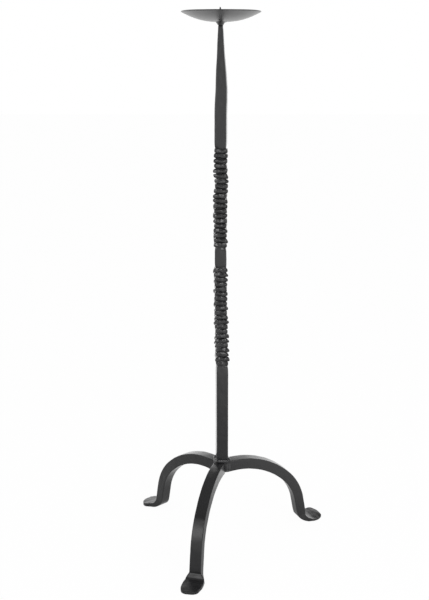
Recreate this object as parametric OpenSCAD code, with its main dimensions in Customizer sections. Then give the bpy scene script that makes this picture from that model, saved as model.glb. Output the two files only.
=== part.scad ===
// Forged torchere candle stand: a square-bar column with two chiselled bands, drawn out to a
// pricket, a shallow drip pan, and three arched legs whose ends are hammered into flat feet.
// +Z is up and the origin is on the floor, under the axis of the column.

/* [Column] */
// Width of the square bar that the column is forged from
bar_w = 20; // [17.5:0.5:22.5]
// Width of the eased corners along every forged bar
corner_ease = 1.6; // [0.8:0.2:2.4]
// Height of the shoulder at the top of the bar
shoulder_z = 921.5; // [860:0.5:1000]
// Length of the long taper below the shoulder
taper_len = 115; // [90:1:150]
// Width of the bar at the shoulder
taper_tip_w = 8.2; // [7.8:0.2:10]
// Turn of the bar's faces about the axis at the foot, in degrees
bar_turn = 17; // [10:1:20]
// Part of that turn that the chiselling takes out on the way up, in degrees
bar_untwist = 12; // [6:1:14]

/* [Chiselled bands] */
// Height of the first cut of the lower band
lower_band_z = 335; // [250:1:340]
// Ridges in the lower band
lower_ridges = 21; // [10:1:21]
// Height of the first cut of the upper band
upper_band_z = 550; // [540:1:580]
// Ridges in the upper band
upper_ridges = 20; // [10:1:20]
// Distance from one cut to the next
ridge_pitch = 8.55; // [7:0.05:8.8]
// Width of a cut along the bar
cut_w = 3; // [2:0.1:3.4]
// Depth of a cut at the corners of the bar
corner_cut = 1.2; // [0.4:0.1:2]
// Depth of a cut across the faces of the bar
face_cut = 1.5; // [0.6:0.1:2.2]
// How far the ridges are driven out beyond the corners
ridge_bulge = 2.6; // [1:0.1:3.4]
// How far the hand-set cuts wander up and down
cut_wander = 0.8; // [0:0.1:1]

/* [Pricket] */
// Diameter of the round tenon that passes through the pan
tenon_d = 7; // [6:0.2:7.4]
// Height of the tenon's end above the floor of the pan
tenon_rise = 1.2; // [0.6:0.1:3]
// Diameter of the pricket that takes the candle
pricket_d = 5.2; // [4:0.1:5.6]
// Length of the pricket's straight shank
pricket_shank = 9; // [6:0.5:14]
// Length of the pricket's point
pricket_point = 11.8; // [8:0.2:18]

/* [Drip pan] */
// Diameter of the pan over its rim
pan_d = 133; // [130:1:150]
// Diameter of the pan's flat floor
pan_floor_d = 16; // [12:1:20]
// Radius of the bend between the floor and the flared side
pan_bend_r = 116; // [100:1:120]
// Slope of the flared side, in degrees
pan_flare = 25.5; // [20:0.5:27]
// Thickness of the pan's sheet
pan_wall = 1.6; // [1:0.1:2.6]
// Clearance between the tenon and the hole in the pan
pan_hole_gap = 0.2; // [0.1:0.05:0.4]

/* [Legs] */
// Width of the leg bars
leg_w = 20; // [17:0.5:21]
// Thickness of a leg where it meets the column
leg_t = 19.8; // [16:0.2:21]
// Thickness of a leg just above its foot
shin_t = 18.2; // [13:0.2:19]
// Height at which the legs' middle line meets the column
hub_z = 138.4; // [134:0.2:160]
// Slope at which a leg leaves the column, in degrees
leg_rise = 9.6; // [4:0.2:14]
// Radius of the upper part of the arch
arch_r = 143; // [120:1:152]
// Slope at which the arch tightens, in degrees
arch_turn = 45; // [38:1:52]
// Radius of the lower part of the arch
knee_r = 96; // [80:1:104]
// Steepness of the straight shin, in degrees
shin_lean = 79.6; // [74:0.2:84]
// Plan angle of the front leg, in degrees
front_angle = -105; // [-111:1:-99]
// Plan angle of the right leg, in degrees
right_angle = 22; // [16:1:28]
// Plan angle of the left leg, in degrees
left_angle = 135.5; // [130:0.5:141]

/* [Feet] */
// Radius of the bend from the shin to the foot
heel_r = 15.5; // [12:0.5:18]
// Length of the front foot beyond the bend
front_foot_len = 38; // [28:0.5:46]
// Length of the right foot beyond the bend
right_foot_len = 32.5; // [28:0.5:46]
// Length of the left foot beyond the bend
left_foot_len = 30; // [28:0.5:46]
// Turn of the front foot out of line with its leg, in degrees
front_foot_turn = 9; // [0:0.5:14]
// Turn of the right foot out of line with its leg, in degrees
right_foot_turn = 11; // [0:0.5:14]
// Turn of the left foot out of line with its leg, in degrees
left_foot_turn = 7; // [0:0.5:14]
// Width of the hammered foot
foot_w = 38.5; // [30:0.5:46]
// Thickness of the foot where it leaves the bend
foot_t = 7.6; // [5.6:0.2:9]
// Thickness of the foot at its toe
toe_t = 4.4; // [2.6:0.2:5]

/* [Welds] */
// Radius of the weld beads round the legs
bead_r = 3; // [2:0.1:4]
// Diameter of the weld under the pan
pan_weld_d = 20.8; // [15:0.2:26]
// Height of the weld under the pan
pan_weld_h = 5.5; // [3.5:0.1:8]

/* [Hidden] */
$fn = 64;

iron = "#303032";
weld_grey = "#3d3d40";

// Heights stacked on the shoulder of the bar
pan_z = shoulder_z + pan_weld_h;
pan_top_z = pan_z + pan_wall;
tenon_top_z = pan_top_z + tenon_rise;
shank_top_z = tenon_top_z + pricket_shank;
tip_r = 0.9;

// The taper is nearly even, but it starts and ends softly
taper_softness = 0.7;
taper_rings = 9;
inner_share = 0.24;
crown = 0.1;

// The foot of the column is flush with the undersides of the legs
column_foot_z = hub_z - leg_t / 2;
root_len = leg_t + 4;

// Shares that shape one ridge of a band
mean_bulge = 0.7;
ridge_wobble = 0.4;
ridge_ease = 1.6;
face_lift = 0.3;
band_edge = 2;

// The legs are kept just clear of each other inside the outline of the column
leg_gap = 0.3;
right_to_left = left_angle - right_angle;
front_to_right = right_angle - front_angle;
left_to_front = 360 - right_to_left - front_to_right;
closest = min(right_to_left, front_to_right, left_to_front);
root_r = leg_w / 2 / tan(closest / 2) + leg_gap;
root_z = hub_z - (bar_w / 2 - root_r) * tan(leg_rise);

// Steps along each stretch of a leg
arch_steps = 9;
knee_steps = 6;
heel_steps = 8;
foot_steps = 9;
spread_at = 0.6;
toe_power = 3;
toe_end = 0.99;
heel_thinning = 1.6;
heel_spread = 0.74;

// The beads are eight-sided and rolled so that no side lies along a face of the bars
bead_sides = 8;
bead_roll = 10;

function mix(a, b, t) = a + (b - a) * t;
function eased(t) = t * t * (3 - 2 * t);
function clamp(t) = min(1, max(0, t));
function turned(p, a) = [p.x * cos(a) - p.y * sin(a), p.x * sin(a) + p.y * cos(a)];

// One quarter of the bar's outline: two points on a face and two on the next corner
function quarter(face_h, corner_h, ease) = [
    [face_h, -2 * face_h * inner_share],
    [face_h, 2 * face_h * inner_share],
    [corner_h, corner_h - ease],
    [corner_h - ease, corner_h]
];

// A ring of sixteen points: corners holds the half width at each of the four corners, and lifts
// says how far each corner is driven up or down
function ring(z, face_h, corners, lifts, ease, turn) = [
    for (k = [0:3])
        for (i = [0:3])
            let (q = quarter(face_h, corners[k], ease)[i])
            let (p = turned(q, turn + 90 * k))
            [p.x, p.y, z + (i < 2 ? face_lift : 1) * lifts[k]]
];

// Hammered faces stand a hair proud in the middle
function plain_ring(z, w, turn) = ring(
    z,
    w / 2 + crown,
    [for (k = [0:3]) w / 2],
    [0, 0, 0, 0],
    min(corner_ease, w / 6),
    turn
);

// The turn of the faces at a height: it is taken out evenly along the two bands
upper_end_z = upper_band_z + upper_ridges * ridge_pitch;
function turn_at(z) =
    bar_turn - bar_untwist * clamp((z - lower_band_z) / (upper_end_z - lower_band_z));

// Hand-set unevenness of corner k at cut or ridge i, between -1 and 1
function uneven(i, k) = sin(i * 137.5 + k * 97) * cos(i * 61 + k * 45);

// The cuts at the ends of a band only nick the corners
function face_share(i, n) = clamp((min(i, n - i) - 0.5) / 2);

function lifts_at(i) = [for (k = [0:3]) cut_wander * uneven(i, k)];
function cut_ring(z, i, n) = ring(
    z,
    bar_w / 2 - face_cut * face_share(i, n),
    [for (k = [0:3]) bar_w / 2 - corner_cut * (1 + ridge_wobble * uneven(i + 5, k))],
    lifts_at(i),
    corner_ease,
    turn_at(z)
);

// The edges of a ridge follow the cut on their side
function ridge_ring(z, i, cut) = ring(
    z,
    bar_w / 2,
    [for (k = [0:3]) bar_w / 2 + ridge_bulge * (mean_bulge + ridge_wobble * uneven(i + 9, k))],
    lifts_at(cut),
    corner_ease * ridge_ease,
    turn_at(z)
);

// A band: each cut is followed by the lower and the upper edge of a ridge
function band(z0, n) = concat(
    [plain_ring(z0 - band_edge, bar_w, turn_at(z0))],
    [
        for (i = [0:n - 1])
            for (j = [0:2])
                let (z = z0 + i * ridge_pitch)
                j == 0 ? cut_ring(z, i, n)
                : j == 1 ? ridge_ring(z + cut_w / 2, i, i)
                : ridge_ring(z + ridge_pitch - cut_w / 2, i, i + 1)
    ],
    [cut_ring(z0 + n * ridge_pitch, n, n)],
    [plain_ring(z0 + n * ridge_pitch + band_edge, bar_w, turn_at(z0 + n * ridge_pitch))]
);

function taper_w(t) = mix(bar_w, taper_tip_w, mix(t, eased(t), taper_softness));

taper_z = shoulder_z - taper_len;
column_rings = concat(
    [plain_ring(column_foot_z, bar_w, bar_turn)],
    band(lower_band_z, lower_ridges),
    band(upper_band_z, upper_ridges),
    [
        for (i = [0:taper_rings])
            let (t = i / taper_rings)
            plain_ring(taper_z + taper_len * t, taper_w(t), turn_at(taper_z))
    ]
);

// Skins a stack of rings that all have the same number of points
module loft(rings) {
    n = len(rings[0]);
    count = len(rings);
    sides = [
        for (r = [0:count - 2])
            for (i = [0:n - 1])
                let (a = r * n + i)
                let (b = r * n + (i + 1) % n)
                each [[a, a + n, b], [b, a + n, b + n]]
    ];
    floor_cap = [for (i = [0:n - 1]) i];
    top_cap = [for (i = [n - 1:-1:0]) (count - 1) * n + i];
    polyhedron([for (r = rings) each r], concat([floor_cap], sides, [top_cap]), convexity = 12);
}

module column() {
    color(iron) {
        loft(column_rings);
        translate([0, 0, shoulder_z - 1])
            cylinder(d = tenon_d, h = tenon_top_z - shoulder_z + 1);
        translate([0, 0, tenon_top_z])
            cylinder(d = pricket_d, h = pricket_shank);
        translate([0, 0, shank_top_z])
            cylinder(r1 = pricket_d / 2, r2 = tip_r, h = pricket_point);
    }
}

// The pan's section: floor, bend and flared side, offset is 0 below and the wall above
function pan_side(off, steps) =
    let (r0 = pan_floor_d / 2)
    let (centre_z = pan_z + pan_bend_r)
    let (bend = pan_bend_r - off)
    let (end_r = r0 + bend * sin(pan_flare))
    let (end_z = centre_z - bend * cos(pan_flare))
    let (rim_r = pan_d / 2 - off * sin(pan_flare))
    concat(
        [
            for (i = [0:steps])
                let (a = pan_flare * i / steps)
                [r0 + bend * sin(a), centre_z - bend * cos(a)]
        ],
        [[rim_r, end_z + (rim_r - end_r) * tan(pan_flare)]]
    );

module drip_pan() {
    hole_r = tenon_d / 2 + pan_hole_gap;
    steps = 8;
    under = pan_side(0, steps);
    over = pan_side(pan_wall, steps);
    color(iron)
        rotate_extrude($fn = 96)
            polygon(concat(
                [[hole_r, pan_z]],
                under,
                [for (i = [len(over) - 1:-1:0]) over[i]],
                [[hole_r, pan_top_z]]
            ));
}

// The weld under the pan hugs the shoulder of the bar and flares out just below the pan
neck_share = 0.66;
flare_power = 3;
flare_steps = 6;
module pan_weld() {
    neck_r = taper_tip_w * neck_share;
    color(weld_grey)
        rotate_extrude()
            polygon(concat(
                [[tenon_d / 2, shoulder_z]],
                [
                    for (i = [0:flare_steps])
                        let (t = i / flare_steps)
                        [mix(neck_r, pan_weld_d / 2, pow(t, flare_power)), shoulder_z + pan_weld_h * t]
                ],
                [[tenon_d / 2, pan_z]]
            ));
}

// Middle line of a leg. Headings are slopes in degrees, falling from the rise to the shin
function falling(p, from, radius, a) =
    [p.x + radius * (sin(from) - sin(a)), p.y - radius * (cos(from) - cos(a))];
arch_start = [root_r, root_z];
knee_start = falling(arch_start, leg_rise, arch_r, -arch_turn);
shin_start = falling(knee_start, -arch_turn, knee_r, -shin_lean);
heel_top_z = foot_t / 2 + heel_r * (1 - cos(shin_lean));
shin_len = (shin_start.y - heel_top_z) / sin(shin_lean);
heel_start = [shin_start.x + shin_len * cos(shin_lean), heel_top_z];
foot_start_r = heel_start.x + heel_r * sin(shin_lean);

// Thickness thins evenly with the slope, from the root to the shin
function bar_t(a) = mix(leg_t, shin_t, (leg_rise - a) / (leg_rise + shin_lean));

// Stations of a leg: [distance from the axis, height, heading, half width, half thickness,
// plan offset, plan turn]
arch_stations = [
    for (i = [1:arch_steps])
        let (a = mix(leg_rise, -arch_turn, i / arch_steps))
        let (p = falling(arch_start, leg_rise, arch_r, a))
        [p.x, p.y, a, leg_w / 2, bar_t(a) / 2, 0, 0]
];
knee_stations = [
    for (i = [1:knee_steps])
        let (a = mix(-arch_turn, -shin_lean, i / knee_steps))
        let (p = falling(knee_start, -arch_turn, knee_r, a))
        [p.x, p.y, a, leg_w / 2, bar_t(a) / 2, 0, 0]
];
heel_w = mix(leg_w, foot_w, heel_spread);
heel_stations = [
    for (i = [0:heel_steps])
        let (a = -shin_lean * (1 - i / heel_steps))
        let (left = pow(1 - i / heel_steps, heel_thinning))
        [
            heel_start.x + heel_r * (sin(a) + sin(shin_lean)),
            foot_t / 2 + heel_r * (1 - cos(a)),
            a,
            mix(leg_w, heel_w, eased(i / heel_steps)) / 2,
            mix(foot_t, shin_t, left) / 2,
            0,
            0
        ]
];

// The foot widens to its full width and is then rounded towards the toe. It is hammered out of
// line with its leg by its turn
function toe_share(u) = pow(1 - pow(u, toe_power), 1 / toe_power);
function foot_half_w(u) = u < spread_at
    ? mix(heel_w, foot_w, sin(90 * u / spread_at)) / 2
    : foot_w / 2 * toe_share((u - spread_at) / (1 - spread_at));
function foot_stations(len, turn) = [
    for (i = [1:foot_steps])
        let (u = toe_end * sin(90 * i / foot_steps))
        let (t = mix(foot_t, toe_t, u))
        let (x = foot_start_r + len * u * cos(turn))
        [x, t / 2, 0, foot_half_w(u), t / 2, len * u * sin(turn), turn]
];

function leg_stations(len, turn) = concat(
    [[root_r, root_z, 0, leg_w / 2, leg_t / 2 / cos(leg_rise), 0, 0]],
    arch_stations,
    knee_stations,
    heel_stations,
    foot_stations(len, turn)
);

// A ring of eight points round a station. Nothing reaches below the floor
function leg_ring(s) =
    let (w = s[3])
    let (t = s[4])
    let (ease = min(corner_ease, w / 4, t / 2.5))
    let (flat = [
        [w, -t + ease], [w, t - ease], [w - ease, t], [-w + ease, t],
        [-w, t - ease], [-w, -t + ease], [-w + ease, -t], [w - ease, -t]
    ])
    [
        for (q = flat)
            [
                s[0] - q.y * sin(s[2]) - q.x * sin(s[6]),
                s[5] + q.x * cos(s[6]),
                max(0, s[1] + q.y * cos(s[2]))
            ]
    ];

// The end of the column that the legs are cut to fit
module column_end() {
    outline = [for (p = plain_ring(0, bar_w, bar_turn)) [p.x, p.y]];
    translate([0, 0, column_foot_z - root_len])
        linear_extrude(root_len * 3)
            polygon(outline);
}

module whole_leg(angle, len, turn) {
    rotate([0, 0, angle])
        loft([for (s = leg_stations(len, turn)) leg_ring(s)]);
}
module leg(angle, len, turn) {
    difference() {
        whole_leg(angle, len, turn);
        column_end();
    }
}

// Distance from the axis to the bar's outline, along a line at this plan angle and offset
function reach(angle, off) = min([
    for (k = [0:3])
        let (d = angle - bar_turn - 90 * k)
        cos(d) > 0.05 ? (bar_w / 2 + off * sin(d)) / cos(d) : 10 * bar_w
]);

// A point of the seam on the top edge of a leg, at this offset from the leg's middle line
function seam(angle, off) =
    let (r = max(reach(angle, off), root_r))
    let (p = turned([r, off], angle))
    [p.x, p.y, root_z + leg_t / 2 + (r - root_r) * tan(leg_rise)];

// The seam goes round those corners of the bar that lie within the width of the leg
function seam_path(angle, half) =
    let (corner_r = bar_w / sqrt(2))
    let (first = bar_turn + 45 + 90 * ceil((angle - 135 - bar_turn) / 90))
    let (offs = [for (j = [0:1]) corner_r * sin(first + 90 * j - angle)])
    concat(
        [seam(angle, -half)],
        [for (off = offs) if (abs(off) < half - 0.5) seam(angle, off)],
        [seam(angle, half)]
    );

module bead(a, b) {
    d = b - a;
    flat = norm([d.x, d.y]);
    lap = bead_r / 2;
    translate(a)
        rotate([0, atan2(flat, d.z), atan2(d.y, d.x)])
            translate([0, 0, -lap])
                rotate([0, 0, bead_roll])
                    cylinder(r = bead_r, h = norm(d) + 2 * lap, $fn = bead_sides);
}

// The slice of plan between the middles of the gaps on both sides of a leg
module sector(from, to) {
    far = 4 * bar_w;
    mid = (from + to) / 2;
    corners = [
        [0, 0],
        far * [cos(from), sin(from)],
        2 * far * [cos(mid), sin(mid)],
        far * [cos(to), sin(to)]
    ];
    linear_extrude(hub_z + leg_t * 2)
        polygon(corners);
}

// A weld runs up one side of a leg's root, over its top and down the other side
module leg_weld(angle, gap_before, gap_after) {
    path = seam_path(angle, leg_w / 2);
    last = len(path) - 1;
    low = column_foot_z + bead_r;
    intersection() {
        sector(angle - gap_before / 2, angle + gap_after / 2);
        difference() {
            union() {
                bead([path[0].x, path[0].y, low], path[0]);
                for (i = [1:last])
                    bead(path[i - 1], path[i]);
                bead([path[last].x, path[last].y, low], path[last]);
            }
            column_end();
            whole_leg(angle, right_foot_len, 0);
        }
    }
}

module leg_front() { color(iron) leg(front_angle, front_foot_len, front_foot_turn); }
module leg_right() { color(iron) leg(right_angle, right_foot_len, right_foot_turn); }
module leg_left() { color(iron) leg(left_angle, left_foot_len, left_foot_turn); }
module weld_front() { color(weld_grey) leg_weld(front_angle, left_to_front, front_to_right); }
module weld_right() { color(weld_grey) leg_weld(right_angle, front_to_right, right_to_left); }
module weld_left() { color(weld_grey) leg_weld(left_angle, right_to_left, left_to_front); }

column();
drip_pan();
pan_weld();
leg_front();
leg_right();
leg_left();
weld_front();
weld_right();
weld_left();
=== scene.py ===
import bpy
import bmesh
import math
import random
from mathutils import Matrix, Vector


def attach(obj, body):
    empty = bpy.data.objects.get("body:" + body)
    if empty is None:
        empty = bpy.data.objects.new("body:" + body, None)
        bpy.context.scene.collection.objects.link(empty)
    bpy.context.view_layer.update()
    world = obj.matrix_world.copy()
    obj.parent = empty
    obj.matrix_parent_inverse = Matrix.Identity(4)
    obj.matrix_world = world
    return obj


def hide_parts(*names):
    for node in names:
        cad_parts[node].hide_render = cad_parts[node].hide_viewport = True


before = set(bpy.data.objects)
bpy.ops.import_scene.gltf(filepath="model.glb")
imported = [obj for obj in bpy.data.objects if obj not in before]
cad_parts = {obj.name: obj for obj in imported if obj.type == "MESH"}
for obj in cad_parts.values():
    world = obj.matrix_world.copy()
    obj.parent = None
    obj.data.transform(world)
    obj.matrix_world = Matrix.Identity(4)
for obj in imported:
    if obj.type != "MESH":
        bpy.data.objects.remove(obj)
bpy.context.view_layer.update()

mm = 0.001
# the least distance that counts as one, in mm
hair = 0.01


def clearSelection():
    if bpy.context.mode != "OBJECT":
        bpy.ops.object.mode_set(mode="OBJECT")
    bpy.ops.object.select_all(action="DESELECT")


def editActive():
    bpy.ops.object.mode_set(mode="EDIT")
    bpy.ops.mesh.select_mode(type="VERT")


def pickVertices(test):
    # selects the vertices whose place passes the test
    work = bmesh.from_edit_mesh(bpy.context.edit_object.data)
    for vertex in work.verts:
        vertex.select = test(vertex.co)
    work.select_flush_mode()
    bmesh.update_edit_mesh(bpy.context.edit_object.data, loop_triangles=False)


def rowsByHeight(heights):
    # the vertices of every ring, found while the rings are still level
    work = bmesh.from_edit_mesh(bpy.context.edit_object.data)
    rows = {height: [] for height in heights}
    for vertex in work.verts:
        rows[min(heights, key=lambda height: abs(vertex.co.z - height * mm))].append(vertex.index)
    return rows


def pickFrom(row, test):
    # selects those vertices of one ring whose place passes the test
    work = bmesh.from_edit_mesh(bpy.context.edit_object.data)
    work.verts.ensure_lookup_table()
    for vertex in work.verts:
        vertex.select = False
    for index in row:
        work.verts[index].select = test(work.verts[index].co)
    work.select_flush_mode()
    bmesh.update_edit_mesh(bpy.context.edit_object.data, loop_triangles=False)


def makeOnly(piece):
    clearSelection()
    piece.select_set(True)
    bpy.context.view_layer.objects.active = piece


def applyModifier(piece, name, kind, **settings):
    makeOnly(piece)
    modifier = piece.modifiers.new(name, kind)
    for key, value in settings.items():
        setattr(modifier, key, value)
    bpy.ops.object.modifier_apply(modifier=modifier.name)


def roughen(piece, name, kind, size, strength, direction="NORMAL", group=""):
    # pushes the surface in and out by a procedural pattern with features of this size
    pattern = bpy.data.textures.new(name, kind)
    pattern.noise_scale = size
    applyModifier(piece, name, "DISPLACE", texture=pattern, texture_coords="GLOBAL",
                  strength=strength, mid_level=0.5, direction=direction, vertex_group=group)


def groupVertices(piece, name, test):
    # names the vertices that pass the test, so that a later pattern works on them alone
    makeOnly(piece)
    editActive()
    pickVertices(test)
    bpy.ops.object.vertex_group_add()
    bpy.ops.object.vertex_group_assign()
    bpy.ops.object.mode_set(mode="OBJECT")
    piece.vertex_groups[-1].name = name


def smoothCage(piece, levels):
    applyModifier(piece, "smooth cage", "SUBSURF", levels=levels, render_levels=levels)


def finishPiece(piece, name, node, material):
    makeOnly(piece)
    bpy.ops.object.transform_apply(location=True, rotation=True, scale=True)
    editActive()
    bpy.ops.mesh.select_all(action="SELECT")
    bpy.ops.mesh.remove_doubles(threshold=hair * mm)
    bpy.ops.mesh.normals_make_consistent(inside=False)
    bpy.ops.object.mode_set(mode="OBJECT")
    bpy.ops.object.shade_smooth()
    piece.name = name
    piece.data.name = name
    piece.data.materials.clear()
    piece.data.materials.append(material)
    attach(piece, "root")
    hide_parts(node)
    clearSelection()


def squareSection(width, height, ease, lines=3):
    # turns a new one-metre plane into a bar's section, with lines close to each corner and the rest
    # even between them
    bpy.ops.mesh.subdivide(number_cuts=lines)
    bpy.ops.mesh.select_all(action="SELECT")
    bpy.ops.transform.resize(value=(width, height, 1), center_override=(0, 0, 0))
    inner = (lines - 1) / (lines + 1)
    # the inner lines lie within this share of the section, and the corners outside it
    within = inner + 0.05
    outX = (width / 2 - ease) / (width / 2 * inner)
    outY = (height / 2 - ease) / (height / 2 * inner)
    pickVertices(lambda p: abs(p.x) < width * within / 2)
    bpy.ops.transform.resize(value=(outX, 1, 1), center_override=(0, 0, 0))
    pickVertices(lambda p: abs(p.y) < height * within / 2)
    bpy.ops.transform.resize(value=(1, outY, 1), center_override=(0, 0, 0))
    bpy.ops.mesh.select_all(action="SELECT")


def extrudeBy(step):
    bpy.ops.mesh.extrude_region_move(TRANSFORM_OT_translate={"value": step})


def alongCurve(points, at):
    # the value at this place on a line through (place, value) points
    for (a, low), (b, high) in zip(points, points[1:]):
        if at <= b:
            share = min(1, max(0, (at - a) / (b - a)))
            return low + (high - low) * share
    return points[-1][1]


def sine(angle):
    return math.sin(math.radians(angle))


def cosine(angle):
    return math.cos(math.radians(angle))


def toLinear(hexColour):
    parts = [int(hexColour[i:i + 2], 16) / 255 for i in (1, 3, 5)]
    return [c / 12.92 if c <= 0.04045 else ((c + 0.055) / 1.055) ** 2.4 for c in parts] + [1.0]


def addNode(tree, kind, settings=None, values=None, links=None):
    node = tree.nodes.new(kind)
    for key, value in (settings or {}).items():
        setattr(node, key, value)
    for key, value in (values or {}).items():
        node.inputs[key].default_value = value
    for key, source in (links or {}).items():
        tree.links.new(source, node.inputs[key])
    return node


def waxedIron(name, look):
    # iron forged black at the fire, brushed and waxed: nearly black itself, under a clear wax
    # that mirrors pale surroundings strongly at a low angle; soft hammer facets and a paler colour
    # on the sharp edges break the mirror image up
    material = bpy.data.materials.new(name)
    material.use_nodes = True
    tree = material.node_tree
    tree.nodes.clear()
    place = addNode(tree, "ShaderNodeTexCoord").outputs["Object"]
    patches = addNode(tree, "ShaderNodeTexNoise", values={
        "Scale": 1 / (look["patchSize"] * mm), "Detail": 4, "Roughness": 0.55},
        links={"Vector": place})
    colour = addNode(tree, "ShaderNodeMix", {"data_type": "RGBA"}, links={0: patches.outputs["Fac"]})
    colour.inputs[6].default_value = toLinear(look["darkColour"])
    colour.inputs[7].default_value = toLinear(look["paleColour"])
    edge = addNode(tree, "ShaderNodeNewGeometry").outputs["Pointiness"]
    # the sharper the edge, the more of the pale edge colour it takes
    paleEdges = addNode(tree, "ShaderNodeMapRange", values={
        "From Min": 0.52, "From Max": 0.62, "To Min": 0, "To Max": look["sharpEdgePaling"]},
        links={"Value": edge})
    skin = addNode(tree, "ShaderNodeMix", {"data_type": "RGBA"}, links={
        0: paleEdges.outputs["Result"], 6: colour.outputs[2]})
    skin.inputs[7].default_value = toLinear(look["sharpEdgeColour"])
    sheen = addNode(tree, "ShaderNodeMapRange", values={
        "From Min": 0.3, "From Max": 0.7, "To Min": look["shinyRoughness"],
        "To Max": look["dullRoughness"]}, links={"Value": patches.outputs["Fac"]})
    hammer = addNode(tree, "ShaderNodeTexNoise", values={
        "Scale": 1 / (look["hammerSize"] * mm), "Detail": 1.5, "Roughness": 0.4},
        links={"Vector": place})
    grit = addNode(tree, "ShaderNodeTexNoise", values={
        "Scale": 1 / (look["scaleSize"] * mm), "Detail": 3, "Roughness": 0.6},
        links={"Vector": place})
    hammered = addNode(tree, "ShaderNodeBump", values={
        "Strength": look["hammerStrength"], "Distance": look["hammerDepth"] * mm},
        links={"Height": hammer.outputs["Fac"]})
    gritty = addNode(tree, "ShaderNodeBump", values={
        "Strength": look["scaleStrength"], "Distance": look["scaleDepth"] * mm},
        links={"Height": grit.outputs["Fac"], "Normal": hammered.outputs["Normal"]})
    shader = addNode(tree, "ShaderNodeBsdfPrincipled", values={
        "Metallic": 0.0, "IOR": 1.5, "Coat Weight": look["waxCoat"], "Coat IOR": 1.5,
        "Coat Roughness": look["waxRoughness"]}, links={
        "Base Color": skin.outputs[2], "Roughness": sheen.outputs["Result"],
        "Normal": gritty.outputs["Normal"], "Coat Normal": hammered.outputs["Normal"]})
    addNode(tree, "ShaderNodeOutputMaterial", links={"Surface": shader.outputs["BSDF"]})
    return material


barIron = waxedIron("waxed forged iron bar", {
    "darkColour": "#101012", "paleColour": "#18181a", "sharpEdgeColour": "#404043",
    "patchSize": 18, "sharpEdgePaling": 0.5, "shinyRoughness": 0.3, "dullRoughness": 0.42,
    "waxCoat": 1.0, "waxRoughness": 0.22, "hammerSize": 9, "hammerDepth": 0.3, "hammerStrength": 0.4,
    "scaleSize": 1.6, "scaleDepth": 0.1, "scaleStrength": 0.4})
sheetIron = waxedIron("waxed dished iron sheet", {
    "darkColour": "#121214", "paleColour": "#19191b", "sharpEdgeColour": "#303033",
    "patchSize": 25, "sharpEdgePaling": 0.3, "shinyRoughness": 0.38, "dullRoughness": 0.46,
    "waxCoat": 1.0, "waxRoughness": 0.36, "hammerSize": 16, "hammerDepth": 0.1, "hammerStrength": 0.2,
    "scaleSize": 1.6, "scaleDepth": 0.04, "scaleStrength": 0.25})
weldIron = waxedIron("waxed weld bead", {
    "darkColour": "#121214", "paleColour": "#1b1b1e", "sharpEdgeColour": "#333336",
    "patchSize": 6, "sharpEdgePaling": 0.3, "shinyRoughness": 0.3, "dullRoughness": 0.42,
    "waxCoat": 0.9, "waxRoughness": 0.22, "hammerSize": 3, "hammerDepth": 0.2, "hammerStrength": 0.4,
    "scaleSize": 1.0, "scaleDepth": 0.08, "scaleStrength": 0.4})
print("materials ready")


# The column is a square bar with two chiselled bands, a long taper and the pricket. Its line is
# a little crooked: heights with how far the bar stands off the straight line, and its width there.
# The point has its share of the height, of the shank's width and of the lean, ring by ring
column = {
    "width": 20, "ease": 2.3, "footZ": 128.7, "shoulderZ": 921.5,
    "line": [(128, 1.4), (340, 1.4), (470, -0.9), (550, -0.9), (630, -0.9), (663, 0.8), (692, -0.5),
             (780, -0.3), (794, 0.0), (807, 0.7), (820, 1.1), (833, 0.7), (850, 0.3), (885, -0.4),
             (911, -0.6), (922, -0.8)],
    "widths": [(128, 21.1), (335, 21.1), (550, 20.6), (780, 20.4), (800, 20.5), (820, 19.2),
               (846, 17.2), (859, 14.9), (885, 11.6), (898, 10.6), (911, 9.0), (922, 8.0)],
    "faceTurn": 17, "untwist": 12, "plainStep": 12, "dentSize": 11, "dentDepth": 0.5,
    "lowerBandZ": 335, "lowerRidges": 21, "upperBandZ": 550, "upperRidges": 20,
    "bandMargin": 2, "bandReach": 1, "pitch": 8.55, "cutWidth": 1.2, "shoulderWidth": 2.2,
    "linePick": 0.5, "seed": 4,
    "lowerCut": 2.4, "upperCut": 4.3, "cutSpread": (0.8, 1.15), "endShare": 0.3,
    "brokenShare": 0.22, "brokenDepth": 0.3, "edgeCut": 1.0,
    "cornerCut": 4.0, "cornerReach": 0.7, "cornerInset": 0.3,
    "ridgeLean": 2.0, "leanSpread": (-0.5, 1), "ridgeSwell": 1.4, "ridgeCrown": 0.9, "groove": 1.1,
    "earSize": 3.0, "earWobble": 2.6, "earShares": (0.4, 1, 1, 1), "earShift": 1.3,
    "earFlank": 0.8, "earReach": 1.1, "earInset": 2.0,
    "cutSlant": 0.7, "slantSpread": (-0.9, 1.7), "slantFrom": 0.2,
    "wanderSize": 9, "cutWander": 1.4, "unevenSize": 5, "unevenDepth": 2.6,
    "tenonSides": 32, "tenonRoot": 2, "tenonWidth": 7, "tenonTop": 929.8, "tenonEase": 0.4,
    "shankWidth": 5.2, "shankTop": 938.8, "pointTop": 950.6, "pointLean": -1.6,
    "pointRings": [(0, 1, 0.25), (0.35, 0.84, 0.5), (0.7, 0.6, 0.75)],
    "tipHeight": 0.8, "tipShare": 0.38, "tipLean": 0.95, "tipWidth": 0.9}
faceSides = ((1, 0), (-1, 0), (0, 1), (0, -1))
cornerSides = ((1, 1), (-1, 1), (-1, -1), (1, -1))
# each face has four lines along the bar, numbered by how far they are from its middle
faceLines = (-3, -1, 1, 3)
outerLine = 3


def bandRings(start, ridges, c):
    # every cut and ridge as (height, kind, number)
    rings = []
    for i in range(ridges):
        low = start + i * c["pitch"]
        rings.append((low, "cut", i))
        rings.append((low + c["cutWidth"] / 2, "edge", i))
        rings.append((low + c["shoulderWidth"] / 2, "under", i))
        rings.append((low + c["pitch"] / 2, "ridge", i))
        rings.append((low + c["pitch"] - c["shoulderWidth"] / 2, "over", i))
        rings.append((low + c["pitch"] - c["cutWidth"] / 2, "edge", i))
    rings.append((start + ridges * c["pitch"], "cut", ridges))
    return rings


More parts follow.
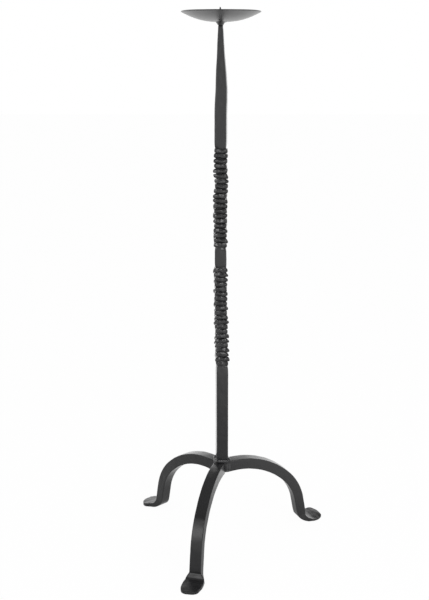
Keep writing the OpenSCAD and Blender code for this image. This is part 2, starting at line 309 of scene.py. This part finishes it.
def plainRings(low, high, step):
    count = max(1, round((high - low) / step))
    return [(low + (high - low) * i / count, "plain", 0) for i in range(1, count)]


def columnRings(lower, upper, c):
    # plain rings up to each band and past it, with one a little way off each of its ends
    rings = []
    z = c["footZ"]
    for band in (lower, upper):
        low, high = band[0][0] - c["bandMargin"], band[-1][0] + c["bandMargin"]
        rings += plainRings(z, low, c["plainStep"])
        rings += [(low, "plain", 0)] + band + [(high, "plain", 0)]
        z = high
    return rings + plainRings(z, c["shoulderZ"], c["plainStep"]) + [(c["shoulderZ"], "plain", 0)]


def facePush(kind, outer, depth, lean, swell, c, dice):
    # how far one line of a face moves out at this ring, or in where it is below zero
    if kind == "cut":
        broken = dice.random() < c["brokenShare"]
        return -depth * (c["brokenDepth"] if broken else dice.uniform(*c["cutSpread"]))
    push = swell + {"under": lean / 2, "over": -lean / 2, "ridge": c["ridgeCrown"]}[kind]
    # a groove parts each ear from the lump on the face
    return push - c["groove"] if outer else push


def chiselBand(rows, band, ridges, depth, c, dice, shiftDice):
    # a cut is deep on the faces but breaks off here and there, it leaves lumps that lean one way
    # or the other, and it drives the corners out into blunt ears of uneven size
    half = c["width"] / 2
    line = half - c["ease"]
    places = [(nx, ny, across) for nx, ny in faceSides for across in faceLines]
    numbers = range(ridges + 1)
    ears = [[(c["earSize"] + dice.uniform(-1, 1) * c["earWobble"]) * share for share in c["earShares"]]
            for number in numbers]
    shifts = [[shiftDice.uniform(-1, 1) * c["earShift"] for corner in cornerSides] for number in numbers]
    leans = [{place: c["ridgeLean"] * dice.uniform(*c["leanSpread"]) for place in places}
             for number in numbers]
    swells = [{place: c["ridgeSwell"] * dice.uniform(-1, 1) for place in places} for number in numbers]
    for height, kind, number in band:
        fromEnd = min(number, ridges - number)
        row = rows[height]
        slant = c["cutSlant"] * dice.uniform(*c["slantSpread"])
        for place in places:
            nx, ny, across = place
            outer = abs(across) == outerLine
            # the first and last cuts of a band are shallow on the faces
            deep = 1 if outer or fromEnd > 0 else c["endShare"]
            if kind == "edge":
                push = -c["edgeCut"] * deep
            else:
                push = facePush(kind, outer, depth * deep, leans[number][place], swells[number][place],
                                c, dice)
            x = nx * half + ny * across / outerLine * line
            y = ny * half + nx * across / outerLine * line
            pickFrom(row, lambda p: math.hypot(p.x - x * mm, p.y - y * mm) < c["linePick"] * mm)
            bpy.ops.transform.translate(value=(push * nx * mm, push * ny * mm, 0))
        for k, (sx, sy) in enumerate(cornerSides):
            if kind in ("under", "over", "ridge"):
                share = 1 if kind == "ridge" else c["earFlank"]
                push = ears[number][k] * share * c["earReach"] * mm
                rise = shifts[number][k] * mm
                inward = half - c["earInset"]
            else:
                push = -c["cornerCut" if kind == "cut" else "edgeCut"] * c["cornerReach"] * mm
                rise = 0
                inward = half - c["cornerInset"]
            pickFrom(row, lambda p: p.x * sx > inward * mm and p.y * sy > inward * mm)
            bpy.ops.transform.translate(value=(push * sx, push * sy, rise))
        for side in (1, -1):
            pickFrom(row, lambda p: p.x * side > half * c["slantFrom"] * mm)
            bpy.ops.transform.translate(value=(0, 0, -side * slant * mm))


def shapeLine(rows, c):
    # the bar isn't quite straight, and it thins out towards the pan
    for height, row in rows.items():
        scale = alongCurve(c["widths"], height) / c["width"]
        pickFrom(row, lambda p: True)
        bpy.ops.transform.resize(value=(scale, scale, 1), center_override=(0, 0, 0))
        bpy.ops.transform.translate(value=(alongCurve(c["line"], height) * mm, 0, 0))


def buildColumn(c):
    lower = bandRings(c["lowerBandZ"], c["lowerRidges"], c)
    upper = bandRings(c["upperBandZ"], c["upperRidges"], c)
    rings = columnRings(lower, upper, c)
    bpy.ops.mesh.primitive_plane_add(size=1, location=(0, 0, 0))
    piece = bpy.context.active_object
    editActive()
    squareSection(c["width"] * mm, c["width"] * mm, c["ease"] * mm, lines=len(faceLines))
    bpy.ops.transform.translate(value=(0, 0, c["footZ"] * mm))
    z = c["footZ"]
    for height, kind, number in rings:
        extrudeBy((0, 0, (height - z) * mm))
        z = height
    rows = rowsByHeight([c["footZ"]] + [height for height, kind, number in rings])
    dice = random.Random(c["seed"])
    shiftDice = random.Random(c["seed"] + 1)
    chiselBand(rows, lower, c["lowerRidges"], c["lowerCut"], c, dice, shiftDice)
    chiselBand(rows, upper, c["upperRidges"], c["upperCut"], c, dice, shiftDice)
    shapeLine(rows, c)
    bpy.ops.object.mode_set(mode="OBJECT")

    for name, band in (("lower band", lower), ("upper band", upper)):
        low, high = band[0][0] - c["bandReach"], band[-1][0] + c["bandReach"]
        groupVertices(piece, name, lambda p: low * mm < p.z < high * mm)
    smoothCage(piece, 1)
    for group in piece.vertex_groups.keys():
        roughen(piece, "wander of the cuts", "CLOUDS", c["wanderSize"] * mm,
                2 * c["cutWander"] * mm, "Z", group)
        roughen(piece, "uneven ridges", "CLOUDS", c["unevenSize"] * mm,
                c["unevenDepth"] * mm, "NORMAL", group)
    smoothCage(piece, 1)
    roughen(piece, "hammer marks", "CLOUDS", c["dentSize"] * mm, c["dentDepth"] * mm)
    return piece


def turnColumn(piece, c):
    # the cuts have taken some twist out of the bar, all of it between the ends of the bands
    length = c["shoulderZ"] - c["footZ"]
    upperEnd = c["upperBandZ"] + c["upperRidges"] * c["pitch"]
    applyModifier(piece, "twist taken out by the cuts", "SIMPLE_DEFORM", deform_method="TWIST",
                  deform_axis="Z", angle=math.radians(-c["untwist"]),
                  limits=((c["lowerBandZ"] - c["footZ"]) / length, (upperEnd - c["footZ"]) / length))
    makeOnly(piece)
    piece.rotation_euler.z = math.radians(c["faceTurn"])
    bpy.ops.object.transform_apply(location=True, rotation=True, scale=True)


def buildPricket(c):
    z, wide, x = c["shoulderZ"] - c["tenonRoot"], c["tenonWidth"], 0
    bpy.ops.mesh.primitive_circle_add(vertices=c["tenonSides"], radius=wide / 2 * mm,
                                      fill_type="NGON", location=(0, 0, z * mm))
    piece = bpy.context.active_object
    editActive()
    bpy.ops.mesh.select_all(action="SELECT")
    point = c["pointTop"] - c["shankTop"]
    stations = [(c["tenonTop"] - c["tenonEase"], c["tenonWidth"], 0),
                (c["tenonTop"], c["tenonWidth"] - 2 * c["tenonEase"], 0),
                (c["tenonTop"] + hair, c["shankWidth"], 0)]
    stations += [(c["shankTop"] + point * up, c["shankWidth"] * share, lean)
                 for up, share, lean in c["pointRings"]]
    stations += [(c["pointTop"] - c["tipHeight"], c["shankWidth"] * c["tipShare"], c["tipLean"]),
                 (c["pointTop"], c["tipWidth"], 1)]
    for height, width, lean in stations:
        nextX = c["pointLean"] * lean
        extrudeBy(((nextX - x) * mm, 0, (height - z) * mm))
        bpy.ops.transform.resize(value=(width / wide, width / wide, 1),
                                 center_override=(nextX * mm, 0, 0))
        z, wide, x = height, width, nextX
    bpy.ops.object.mode_set(mode="OBJECT")
    return piece


clearSelection()
bar = buildColumn(column)
turnColumn(bar, column)
clearSelection()
pricket = buildPricket(column)
makeOnly(bar)
pricket.select_set(True)
bpy.ops.object.join()
finishPiece(bar, "columnBar", "column", barIron)
print("column ready")


# The drip pan is one shallow dish, hung a little low at the front, on the tenon of the bar
pan = {"hole": 7.4, "floor": 16, "innerRing": 0.35, "bend": 113, "flare": 25.8, "bendSteps": 10,
       "rim": 133, "wall": 1.6, "z": 926.9, "segments": 96, "rimEase": 0.35, "sharpAngle": 50,
       "tilt": 0.7, "frontSag": 0.5, "sagFrom": 2.5, "sagReach": 45,
       "markSize": 30, "unevenness": 0.12}


def buildPan(c):
    clearSelection()
    bpy.ops.mesh.primitive_circle_add(vertices=c["segments"], radius=c["hole"] / 2 * mm,
                                      location=(0, 0, c["z"] * mm))
    piece = bpy.context.active_object
    editActive()
    bpy.ops.mesh.select_all(action="SELECT")
    radius, z = c["hole"] / 2, c["z"]
    stations = [(c["floor"] * c["innerRing"], c["z"]), (c["floor"] / 2, c["z"])]
    for i in range(1, c["bendSteps"] + 1):
        angle = c["flare"] * i / c["bendSteps"]
        stations.append((c["floor"] / 2 + c["bend"] * sine(angle),
                         c["z"] + c["bend"] * (1 - cosine(angle))))
    endRadius, endZ = stations[-1]
    flareRise = (c["rim"] / 2 - endRadius) * math.tan(math.radians(c["flare"]))
    stations.append((c["rim"] / 2, endZ + flareRise))
    for r, height in stations:
        bpy.ops.mesh.extrude_edges_move(TRANSFORM_OT_translate={"value": (0, 0, (height - z) * mm)})
        bpy.ops.transform.resize(value=(r / radius, r / radius, 1), center_override=(0, 0, height * mm))
        radius, z = r, height
    bpy.ops.mesh.select_all(action="SELECT")
    bpy.ops.mesh.normals_make_consistent(inside=False)
    bpy.ops.object.mode_set(mode="OBJECT")
    applyModifier(piece, "sheet thickness", "SOLIDIFY", thickness=c["wall"] * mm, offset=-1)
    applyModifier(piece, "eased rim", "BEVEL", width=c["rimEase"] * mm, segments=2,
                  limit_method="ANGLE", angle_limit=math.radians(c["sharpAngle"]))
    makeOnly(piece)
    editActive()
    pickVertices(lambda p: p.y < -(c["rim"] / 2 - c["sagFrom"]) * mm)
    bpy.ops.transform.translate(value=(0, 0, -c["frontSag"] * mm), use_proportional_edit=True,
                                proportional_edit_falloff="SMOOTH", proportional_size=c["sagReach"] * mm)
    bpy.ops.mesh.select_all(action="SELECT")
    bpy.ops.transform.rotate(value=math.radians(-c["tilt"]), orient_axis="X",
                             center_override=(0, 0, c["z"] * mm))
    bpy.ops.object.mode_set(mode="OBJECT")
    smoothCage(piece, 1)
    roughen(piece, "dishing marks", "CLOUDS", c["markSize"] * mm, c["unevenness"] * mm, "Z")
    return piece


dish = buildPan(pan)
finishPiece(dish, "dripPan", "drip_pan", sheetIron)
print("drip pan ready")


# The legs are forged to one shape. Each foot is hammered out by hand: distance from the axis,
# how far the foot reaches to the right and to the left of its leg's line (seen from above, looking
# outwards), and its thickness. The heel has the radius of its bend and the reaches at its end.
# One foot is hammered thin along its right edge and rolled in steps, each (distance, share)
leg = {
    "width": 20.5, "rootThickness": 20.6, "ease": 1.9,
    "hubZ": 138.4, "rise": 9.6, "archRadius": 143, "archTurn": 45, "archSteps": 10,
    "kneeRadius": 96, "kneeSteps": 7, "shinLean": 79.6, "rootRadius": 6.9,
    "heelSteps": 7, "heelThinning": 1.6, "footTop": 30,
    "thinFrom": 184, "thinSide": -8, "thinAbove": 2.6, "thinDrop": 2.1,
    "rollSteps": ((182, 0.4), (190, 0.35), (197, 0.25)), "rollHinge": -18,
    "toeEdge": 0.3, "toeAbove": 2.5, "toeBack": 1.6, "toeFrom": 203, "toeHinge": 205,
    "dentSize": 12, "dentDepth": 0.5, "hammerCell": 9, "hammerDent": 0.6,
    "hammeredFrom": -12, "hammeredHeight": 14, "soleBand": 0.05,
    "pieces": {
        "Front": {"angle": -105, "roll": 0, "toeTurn": 10, "shin": 18.3, "sole": 5.6,
                  "facet": ((172.2, 14.0), (178.6, 5.5)), "heel": (15.5, 15.4, 18.4), "foot": [
            (185, 15.8, 19.0, 5.6), (190, 16.2, 19.3, 5.5), (198, 16.4, 19.1, 5.4), (205, 15.6, 18.0, 5.2),
            (211, 13.6, 16.3, 4.9), (214.6, 10.8, 13.4, 4.7), (216.4, 7.4, 10.4, 4.4),
            (217.6, 4.0, 6.8, 4.2)]},
        "Right": {"angle": 22, "roll": 2.4, "toeTurn": 0, "shin": 18.3, "sole": 6.6, "facet": None,
                  "heel": (16, 17.4, 20.6), "foot": [
            (186, 18.8, 24.2, 5.4), (191, 18.8, 26.4, 4.8), (198, 17.0, 27.4, 4.4), (203, 13.8, 26.4, 4.1),
            (207.4, 9.5, 18.4, 3.6), (210, 4.5, 11.4, 3.4)]},
        "Left": {"angle": 135.5, "roll": 0, "toeTurn": 0, "shin": 17.3, "sole": 7.6, "facet": None,
                 "heel": (17, 15.5, 17.5), "foot": [
            (185, 17.2, 22.4, 7.0), (189, 17.8, 24.4, 6.4), (195, 17.8, 24.2, 5.6), (201, 17.0, 20.5, 5.0),
            (206, 13.5, 14.0, 4.6), (208.8, 7.0, 6.0, 4.3)]}}}


def legStations(c, details):
    # along the middle line: distance, height, slope, reach to the right and left, thickness
    half = c["width"] / 2
    lean = c["shinLean"]
    shin, sole = details["shin"], details["sole"]
    bend, heelRight, heelLeft = details["heel"]
    r = c["rootRadius"]
    z = c["hubZ"] - (column["width"] / 2 - r) * math.tan(math.radians(c["rise"]))
    stations = [(r, z, c["rise"], half, half, c["rootThickness"])]
    for turn, radius, steps in ((c["archTurn"], c["archRadius"], c["archSteps"]),
                                (lean, c["kneeRadius"], c["kneeSteps"])):
        r, z, slope = stations[-1][:3]
        for i in range(1, steps + 1):
            a = slope + (-turn - slope) * i / steps
            thick = c["rootThickness"] + (shin - c["rootThickness"]) * (c["rise"] - a) / (c["rise"] + lean)
            stations.append((r + radius * (sine(slope) - sine(a)),
                             z - radius * (cosine(slope) - cosine(a)), a, half, half, thick))
    r, z = stations[-1][:2]
    heelZ = sole / 2 + bend * (1 - cosine(lean))
    heelR = r + (z - heelZ) / sine(lean) * cosine(lean)
    for i in range(c["heelSteps"] + 1):
        t = i / c["heelSteps"]
        a = -lean * (1 - t)
        spread = t * t * (3 - 2 * t)
        place = Vector((heelR + bend * (sine(a) + sine(lean)), sole / 2 + bend * (1 - cosine(a))))
        thick = sole + (shin - sole) * (1 - t) ** c["heelThinning"]
        if details["facet"]:
            # one heel is hammered to a flat facet between these two points (distance, height)
            start, end = Vector(details["facet"][0]), Vector(details["facet"][1])
            across = Vector((start.y - end.y, end.x - start.x))
            outward = Vector((-sine(a), cosine(a)))
            thick = max(thick, 2 * across.dot(start - place) / across.dot(outward))
        stations.append((place.x, place.y, a, half + (heelRight - half) * spread,
                         half + (heelLeft - half) * spread, thick))
    for r, right, left, thick in details["foot"]:
        stations.append((r, thick / 2, 0, right, left, thick))
    return stations


def turnSection(slope, centre, axis="Y"):
    # a positive slope lifts the leg's far side, or the foot's left side about the X axis
    bpy.ops.transform.rotate(value=math.radians(slope), orient_axis=axis, center_override=centre)


def hammerFoot(c, details, toe):
    top = c["footTop"] * mm
    if details["roll"]:
        # one foot is hammered thin along its right edge, and its left edge stands off the floor
        pickVertices(lambda p: p.x > c["thinFrom"] * mm and p.y < c["thinSide"] * mm
                     and c["thinAbove"] * mm < p.z < top)
        bpy.ops.transform.translate(value=(0, 0, -c["thinDrop"] * mm))
        for start, share in c["rollSteps"]:
            pickVertices(lambda p: p.x > start * mm and p.z < top)
            turnSection(-details["roll"] * share, (0, c["rollHinge"] * mm, 0), "X")
    if details["toeTurn"]:
        # one toe has its top edge hammered back, and is out of square with its leg
        pickVertices(lambda p: p.x > (toe - c["toeEdge"]) * mm and p.z > c["toeAbove"] * mm)
        bpy.ops.transform.translate(value=(-c["toeBack"] * mm, 0, 0))
        pickVertices(lambda p: p.x > c["toeFrom"] * mm and p.z < top)
        turnSection(-details["toeTurn"], (c["toeHinge"] * mm, 0, 0), "Z")


def buildLeg(c, details):
    clearSelection()
    stations = legStations(c, details)
    r, z = stations[0][:2]
    right, left, thick = stations[0][3:]
    # the first section is stood up across the leg: its width along Y and its thickness along Z
    bpy.ops.mesh.primitive_plane_add(size=1, location=(0, 0, 0))
    piece = bpy.context.active_object
    editActive()
    squareSection(thick * mm, c["width"] * mm, c["ease"] * mm)
    turnSection(90, (0, 0, 0))
    bpy.ops.transform.translate(value=(r * mm, 0, z * mm))
    # that section stays upright, so the first step has no slope to take out
    heading = 0
    for nextR, nextZ, nextSlope, nextRight, nextLeft, nextThick in stations[1:]:
        extrudeBy(((nextR - r) * mm, 0, (nextZ - z) * mm))
        centre = (nextR * mm, 0, nextZ * mm)
        if heading:
            turnSection(-heading, centre)
        shift = (nextLeft - nextRight) / 2 - (left - right) / 2
        bpy.ops.transform.translate(value=(0, shift * mm, 0))
        middle = (nextR * mm, (nextLeft - nextRight) / 2 * mm, nextZ * mm)
        bpy.ops.transform.resize(value=(1, (nextRight + nextLeft) / (right + left), nextThick / thick),
                                 center_override=middle)
        if nextSlope:
            turnSection(nextSlope, centre)
        r, z, heading, right, left, thick = nextR, nextZ, nextSlope, nextRight, nextLeft, nextThick
    hammerFoot(c, details, stations[-1][0])
    bpy.ops.object.mode_set(mode="OBJECT")
    return piece


def finishLeg(piece, name, details, c):
    makeOnly(piece)
    piece.rotation_euler.z = math.radians(details["angle"])
    bpy.ops.object.transform_apply(location=True, rotation=True, scale=True)
    smoothCage(piece, 2)
    reach = details["foot"][0][0] + c["hammeredFrom"]
    groupVertices(piece, "foot", lambda p: p.z < c["hammeredHeight"] * mm
                  and math.hypot(p.x, p.y) > reach * mm)
    roughen(piece, "hammer marks", "CLOUDS", c["dentSize"] * mm, c["dentDepth"] * mm)
    roughen(piece, "facets of the hammered foot", "VORONOI", c["hammerCell"] * mm,
            c["hammerDent"] * mm, "Z", "foot")
    makeOnly(piece)
    editActive()
    # the sole is flat on the floor
    pickVertices(lambda p: p.z < c["soleBand"] * mm)
    bpy.ops.transform.resize(value=(1, 1, 0), center_override=(0, 0, 0))
    finishPiece(piece, "leg" + name, "leg_" + name.lower(), barIron)


for legName, legDetails in leg["pieces"].items():
    finishLeg(buildLeg(leg, legDetails), legName, legDetails, leg)
print("legs ready")


# The welds are filleted beads round the root of each leg, and a flared one under the pan
weld = {"bead": 4.6, "rise": 3.3, "footing": 4.0, "step": 2.2, "wobble": 0.2, "seed": 11,
        "sideBead": 6.5, "sideInset": 2.2, "sideDrop": 4.5, "sideStart": 2, "cornerGap": 0.5,
        "blobSides": 12, "blobRings": 8, "voxel": 0.5, "flow": 0.5, "flowSteps": 16,
        "facing": 0.05}


def seamPoint(angle, off):
    # where a leg's top edge meets the bar, at this distance from the leg's middle line
    half = column["width"] / 2
    turns = [angle - column["faceTurn"] - 90 * k for k in range(len(faceSides))]
    nearest = min((half + off * sine(turn)) / cosine(turn) for turn in turns
                  if cosine(turn) > weld["facing"])
    reach = max(leg["rootRadius"], nearest)
    top = leg["hubZ"] + leg["rootThickness"] / 2 + (reach - half) * math.tan(math.radians(leg["rise"]))
    shift = column["line"][0][1]
    return Vector((reach * cosine(angle) - off * sine(angle) + shift,
                   reach * sine(angle) + off * cosine(angle), top))


def seamLine(angle):
    # from one edge of the leg to the other, with a point at each corner of the bar between them
    half = leg["width"] / 2
    corner = column["width"] / math.sqrt(2)
    turns = [column["faceTurn"] + 45 + 90 * k - angle for k in range(len(cornerSides))]
    offs = [corner * sine(turn) for turn in turns if cosine(turn) > 0]
    inner = sorted(off for off in offs if abs(off) < half - weld["cornerGap"])
    return [seamPoint(angle, off) for off in [-half] + inner + [half]]


def buildBead(points, c, dice):
    # along the leg's top edge, then down both of its sides, a little deeper in the corner
    low = column["footZ"] + c["sideStart"] + c["sideBead"]
    top = [point + Vector((0, 0, c["rise"])) for point in points]
    runs = [(a, b, c["bead"]) for a, b in zip(top, top[1:])]
    runs += [(a, b, c["footing"]) for a, b in zip(points, points[1:])]
    for end in (points[0], points[-1]):
        inset = 1 - c["sideInset"] / math.hypot(end.x, end.y)
        runs.append((Vector((end.x * inset, end.y * inset, low)),
                     Vector((end.x * inset, end.y * inset, end.z - c["sideDrop"])), c["sideBead"]))
    blobs = []
    clearSelection()
    for a, b, size in runs:
        count = max(1, round((b - a).length / c["step"]))
        for i in range(count + 1):
            centre = a + (b - a) * i / count
            radius = size + dice.uniform(-1, 1) * c["wobble"]
            bpy.ops.mesh.primitive_uv_sphere_add(segments=c["blobSides"], ring_count=c["blobRings"],
                                                 radius=radius * mm, location=[x * mm for x in centre])
            blobs.append(bpy.context.active_object)
    clearSelection()
    for blob in blobs:
        blob.select_set(True)
    bpy.context.view_layer.objects.active = blobs[0]
    bpy.ops.object.join()
    piece = bpy.context.active_object
    bpy.ops.object.transform_apply(location=True, rotation=True, scale=True)
    applyModifier(piece, "one bead", "REMESH", mode="VOXEL", voxel_size=c["voxel"] * mm)
    applyModifier(piece, "flowed metal", "SMOOTH", factor=c["flow"], iterations=c["flowSteps"])
    return piece


weldDice = random.Random(weld["seed"])
for legName, legDetails in leg["pieces"].items():
    bead = buildBead(seamLine(legDetails["angle"]), weld, weldDice)
    finishPiece(bead, "weld" + legName, "weld_" + legName.lower(), weldIron)

# heights up the weld under the pan, its width there and how far it leans to the right
panJoint = {"low": 921.3, "sides": 40, "rippleSize": 3, "rippleDepth": 0.5, "stations": [
    (922, 9.2, 0), (923.2, 10.8, 0), (924.6, 13.2, -0.1), (925.9, 15.2, 0), (926.5, 17.6, 0.6),
    (927.0, 20.5, 1.4)]}


def buildPanWeld(c):
    clearSelection()
    barX = column["line"][-1][1]
    z, wide, x = c["low"], c["stations"][0][1], barX
    bpy.ops.mesh.primitive_circle_add(vertices=c["sides"], radius=wide / 2 * mm, fill_type="NGON",
                                      location=(x * mm, 0, z * mm))
    piece = bpy.context.active_object
    editActive()
    bpy.ops.mesh.select_all(action="SELECT")
    for height, width, lean in c["stations"]:
        nextX = barX + lean
        extrudeBy(((nextX - x) * mm, 0, (height - z) * mm))
        bpy.ops.transform.resize(value=(width / wide, width / wide, 1), center_override=(nextX * mm, 0, 0))
        z, wide, x = height, width, nextX
    bpy.ops.object.mode_set(mode="OBJECT")
    smoothCage(piece, 1)
    roughen(piece, "weld ripples", "CLOUDS", c["rippleSize"] * mm, c["rippleDepth"] * mm)
    return piece


panBead = buildPanWeld(panJoint)
finishPiece(panBead, "panWeld", "pan_weld", weldIron)
print("welds ready")


# The floor's width, the share of plain white in what the camera sees of it, and the strength of
# the soft light from all round. What gloss finds fades between two places, from one level to
# another: on the floor it is painted shade and light, and each room has its levels from low to
# high. A lamp aims at a height of the stand
studio = {
    "floorWidth": 40, "whiteShare": 0.96, "softLight": 0.8,
    "paintedFloorBehind": (0.05, 0.35, 0.32, 1.0), "paintedFloorRight": (0.12, 0.35, 0.0, 0.35),
    "paintedFloorAhead": (-1.25, -0.75, 0.3, 0.0), "roomBehind": (-0.3, 0.25, 0.0, 1.0),
    "roomLow": -0.2, "roomHigh": 1.0,
    "frontRoom": [(0.0, 0.64), (0.16, 0.56), (0.24, 0.48), (0.32, 0.4), (0.48, 0.25), (0.66, 0.1),
                  (0.85, 0.1), (1.0, 0.25)],
    "backRoom": [(0.0, 1.0), (0.36, 1.0), (0.5, 0.65), (0.62, 0.33), (0.8, 0.15), (1.0, 0.25)],
    "lamps": {
        "leftBox": {"place": (-1.02, -1.66, 1.1), "width": 0.7, "height": 0.8, "power": 1.7,
                    "aim": 0.1},
        "leftSheet": {"place": (-1.02, -1.66, 1.25), "width": 1.0, "height": 1.4, "power": 2.8,
                      "aim": 0.1},
        "rightBox": {"place": (0.95, -1.5, 1.45), "width": 1.1, "height": 1.0, "power": 10.5,
                     "aim": 0.5}}}


def fade(tree, source, start, end, first, last):
    # a soft step from one level to another, between two places
    step = addNode(tree, "ShaderNodeMapRange", {"interpolation_type": "SMOOTHSTEP"}, {
        "From Min": start, "From Max": end, "To Min": first, "To Max": last}, {"Value": source})
    return step.outputs["Result"]


def plainFloor(c):
    # matt white floor: to the eye it is as bright as the backdrop, with a trace of the shadow. Gloss
    # finds it glowing with painted light: white behind the stand, and painted shade round the legs and
    # in front
    clearSelection()
    bpy.ops.mesh.primitive_plane_add(size=c["floorWidth"], location=(0, 0, 0))
    floor = bpy.context.active_object
    floor.name = "studioFloor"
    material = bpy.data.materials.new("matt white studio floor")
    material.use_nodes = True
    tree = material.node_tree
    tree.nodes.clear()
    path = addNode(tree, "ShaderNodeLightPath")
    place = addNode(tree, "ShaderNodeTexCoord").outputs["Object"]
    split = addNode(tree, "ShaderNodeSeparateXYZ", links={"Vector": place})
    # painted shade for gloss: the floor's glow is dim round the stand and in front of it, brighter to the
    # right and far ahead, and white behind
    behind = fade(tree, split.outputs["Y"], *c["paintedFloorBehind"])
    right = fade(tree, split.outputs["X"], *c["paintedFloorRight"])
    ahead = fade(tree, split.outputs["Y"], *c["paintedFloorAhead"])
    side = addNode(tree, "ShaderNodeMath", {"operation": "ADD"}, links={0: right, 1: ahead})
    paintedFloorLevel = addNode(tree, "ShaderNodeMath", {"operation": "ADD"}, links={0: side.outputs[0], 1: behind})
    mirrored = addNode(tree, "ShaderNodeMath", {"operation": "MINIMUM"}, {1: 1.0}, {0: paintedFloorLevel.outputs[0]})
    matt = addNode(tree, "ShaderNodeBsdfDiffuse", values={"Color": toLinear("#f6f6f6")})
    glow = addNode(tree, "ShaderNodeEmission", values={"Color": (1, 1, 1, 1), "Strength": 1.0})
    seen = addNode(tree, "ShaderNodeMixShader", values={0: c["whiteShare"]},
                   links={1: matt.outputs[0], 2: glow.outputs[0]})
    paintedFloorImage = addNode(tree, "ShaderNodeEmission", values={"Color": (1, 1, 1, 1)},
                    links={"Strength": mirrored.outputs[0]})
    glossy = addNode(tree, "ShaderNodeMixShader", links={
        0: path.outputs["Is Glossy Ray"], 1: matt.outputs[0], 2: paintedFloorImage.outputs[0]})
    both = addNode(tree, "ShaderNodeMixShader", links={
        0: path.outputs["Is Camera Ray"], 1: glossy.outputs[0], 2: seen.outputs[0]})
    addNode(tree, "ShaderNodeOutputMaterial", links={"Surface": both.outputs[0]})
    floor.data.materials.append(material)


def rampOf(tree, source, bands):
    # a grey ramp through (position, level) pairs
    ramp = addNode(tree, "ShaderNodeValToRGB", links={"Fac": source})
    while len(ramp.color_ramp.elements) < len(bands):
        ramp.color_ramp.elements.new(0.5)
    for element, (position, level) in zip(ramp.color_ramp.elements, bands):
        element.position = position
        element.color = (level, level, level, 1)
    return ramp.outputs["Color"]


def studioWorld(c):
    # for the camera the backdrop is white. Gloss finds it white low behind the stand, dark under the
    # ceiling, and in front a dim room
    world = bpy.data.worlds.new("studio")
    bpy.context.scene.world = world
    world.use_nodes = True
    tree = world.node_tree
    tree.nodes.clear()
    place = addNode(tree, "ShaderNodeTexCoord").outputs["Generated"]
    split = addNode(tree, "ShaderNodeSeparateXYZ", links={"Vector": place})
    behind = fade(tree, split.outputs["Y"], *c["roomBehind"])
    height = addNode(tree, "ShaderNodeMapRange", values={
        "From Min": c["roomLow"], "From Max": c["roomHigh"], "To Min": 0.0, "To Max": 1.0},
        links={"Value": split.outputs["Z"]})
    frontRoom = rampOf(tree, height.outputs["Result"], c["frontRoom"])
    backRoom = rampOf(tree, height.outputs["Result"], c["backRoom"])
    room = addNode(tree, "ShaderNodeMix", {"data_type": "FLOAT"}, links={
        0: behind, 2: frontRoom, 3: backRoom})
    path = addNode(tree, "ShaderNodeLightPath")
    gloss = addNode(tree, "ShaderNodeMath", {"operation": "MAXIMUM"}, links={
        0: path.outputs["Is Glossy Ray"], 1: path.outputs["Is Transmission Ray"]})
    soft = addNode(tree, "ShaderNodeBackground", values={
        "Color": (1, 1, 1, 1), "Strength": c["softLight"]})
    mirrored = addNode(tree, "ShaderNodeBackground", values={"Color": (1, 1, 1, 1)},
                       links={"Strength": room.outputs["Result"]})
    white = addNode(tree, "ShaderNodeBackground", values={"Color": (1, 1, 1, 1), "Strength": 1.0})
    glossy = addNode(tree, "ShaderNodeMixShader", links={
        0: gloss.outputs[0], 1: soft.outputs[0], 2: mirrored.outputs[0]})
    seen = addNode(tree, "ShaderNodeMixShader", links={
        0: path.outputs["Is Camera Ray"], 1: glossy.outputs[0], 2: white.outputs[0]})
    addNode(tree, "ShaderNodeOutputWorld", links={"Surface": seen.outputs[0]})


def softBox(name, c):
    data = bpy.data.lights.new(name, "AREA")
    data.shape = "RECTANGLE"
    data.size = c["width"]
    data.size_y = c["height"]
    data.energy = c["power"]
    lamp = bpy.data.objects.new(name, data)
    bpy.context.scene.collection.objects.link(lamp)
    lamp.location = c["place"]
    aim = Vector((0, 0, c["aim"])) - Vector(c["place"])
    lamp.rotation_euler = aim.to_track_quat("-Z", "Y").to_euler()


plainFloor(studio)
studioWorld(studio)
for lampName, lampDetails in studio["lamps"].items():
    softBox(lampName, lampDetails)

# the camera was fitted to the outlines of the stand in the photo
view = {"lens": 55.4, "sensor": 36, "place": (0, -1.590, 0.839), "pitch": 76.4, "shiftX": -0.011}
cameraData = bpy.data.cameras.new("photoCamera")
cameraData.lens = view["lens"]
cameraData.sensor_width = view["sensor"]
cameraData.shift_x = view["shiftX"]
camera = bpy.data.objects.new("photoCamera", cameraData)
bpy.context.scene.collection.objects.link(camera)
camera.location = view["place"]
camera.rotation_euler = (math.radians(view["pitch"]), 0, 0)
bpy.context.scene.camera = camera
bpy.context.scene.view_settings.view_transform = "Standard"
print("studio ready")
